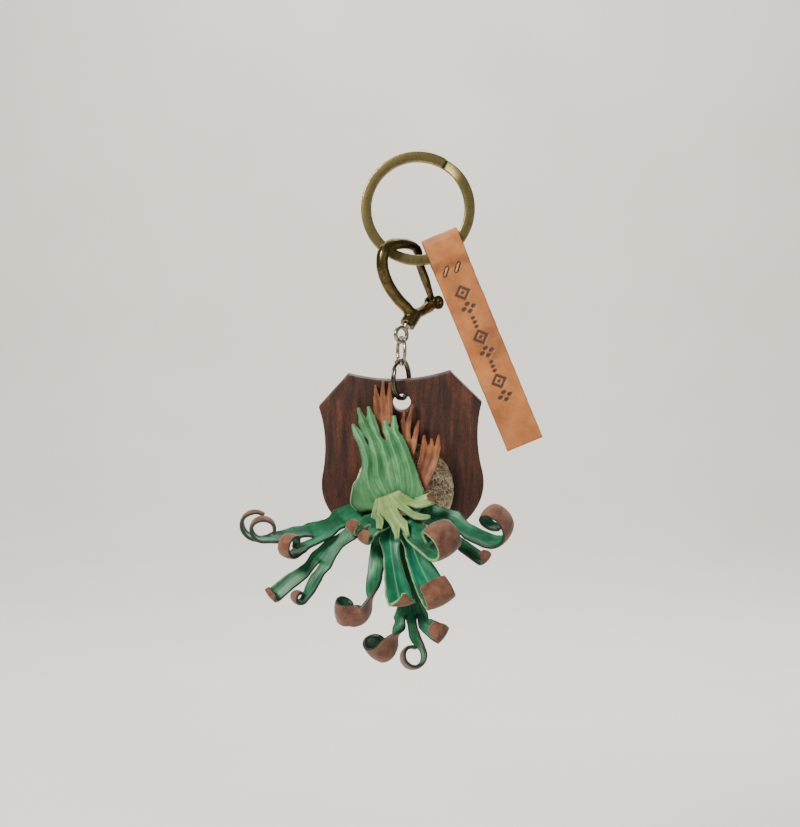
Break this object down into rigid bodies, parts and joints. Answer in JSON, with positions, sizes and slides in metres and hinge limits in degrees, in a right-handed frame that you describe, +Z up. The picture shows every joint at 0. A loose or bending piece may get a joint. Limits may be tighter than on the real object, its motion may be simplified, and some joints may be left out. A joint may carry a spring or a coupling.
{
  "type": "keychain",
  "caption": "Keychain with a split ring, swivel snap hook, leather tag and a small leather staghorn fern mounted on a walnut shield plaque.",
  "frame": {"origin": "the highest point of the key ring's inner edge, where it hangs on a peg or a finger", "axes": "+Z up along the hanging keychain, -Y towards the viewer in front of the plaque, +X to the viewer's right"},
  "size_m": [0.086, 0.0411, 0.1476],
  "materials": {
    "key_ring_brass": "antique brass, satin, worn bright on its edges",
    "hook_brass": "dark antique brass, polished where it rubs",
    "swivel_steel": "plated steel, semi-bright",
    "ring_steel": "dark plated steel, semi-bright",
    "tag_leather": "vegetable-tanned leather, matt, stamped",
    "stitch_thread": "waxed linen thread",
    "walnut": "oiled walnut, open grain",
    "moss_fibre": "dry loose fibre",
    "green_leather": "dyed emerald green above, glossy, suede brown below",
    "sage_leather": "dyed sage green, smooth, suede brown below",
    "young_leather": "dyed yellow-green, suede brown below",
    "brown_leather": "orange-brown, smooth, dry"
  },
  "bodies": {
    "key_ring": {"key_ring": "key_ring_brass"},
    "hook": {"hook_body": "hook_brass", "gate_pin": "ring_steel", "gate_spring": "ring_steel"},
    "gate": {"hook_gate": "hook_brass"},
    "swivel": {"swivel_eye": "swivel_steel"},
    "jump_ring": {"jump_ring": "swivel_steel"},
    "small_ring": {"small_split_ring": "ring_steel"},
    "plaque": {"plaque": "walnut", "moss_pad": "moss_fibre", "green_shield_frond": "sage_leather", "brown_shield_frond_top": "brown_leather", "brown_shield_frond_middle": "brown_leather", "brown_shield_frond_right": "brown_leather", "young_front_frond": "young_leather", "small_front_frond": "green_leather", "left_frond": "green_leather", "lower_left_frond": "green_leather", "middle_frond": "green_leather", "hanging_frond": "green_leather", "right_frond": "green_leather", "front_right_frond": "green_leather"},
    "tag": {"tag_strap": "tag_leather", "tag_stitch_1": "stitch_thread", "tag_stitch_2": "stitch_thread"}
  },
  "joints": [
    {"name": "hook_swing", "type": "hinge", "parent": "key_ring", "child": "hook", "pos_m": [-0.0045, -0.0008, -0.0261], "axis": [1, 0, 0], "range_deg": [-8, 28]},
    {"name": "gate_open", "type": "hinge", "parent": "hook", "child": "gate", "pos_m": [0.00485, 0.00704, -0.0402], "axis": [0.6428, -0.766, 0], "range_deg": [0, 30], "stiffness_Nm_per_rad": 0.001, "springref_deg": -20.05},
    {"name": "swivel_spin", "type": "hinge", "parent": "hook", "child": "swivel", "pos_m": [-0.00483, -0.00108, -0.05013], "axis": [-0.4685, -0.3931, -0.7912], "continuous": true},
    {"name": "jump_ring_swing", "type": "hinge", "parent": "swivel", "child": "jump_ring", "pos_m": [-0.00483, -0.00108, -0.05223], "axis": [0.9659, 0.2588, 0], "range_deg": [-25, 25]},
    {"name": "small_ring_sway", "type": "hinge", "parent": "jump_ring", "child": "small_ring", "pos_m": [-0.00483, -0.00108, -0.05883], "axis": [-0.2588, 0.9659, 0], "range_deg": [-3, 12]},
    {"name": "plaque_nod", "type": "hinge", "parent": "small_ring", "child": "plaque", "pos_m": [-0.00483, -0.00108, -0.06303], "axis": [0.9135, -0.4067, 0], "range_deg": [-15, 10]},
    {"name": "tag_slide", "type": "hinge", "parent": "key_ring", "child": "tag", "pos_m": [0, 0, -0.0135], "axis": [0, 1, 0], "range_deg": [-110, 0]}
  ]
}
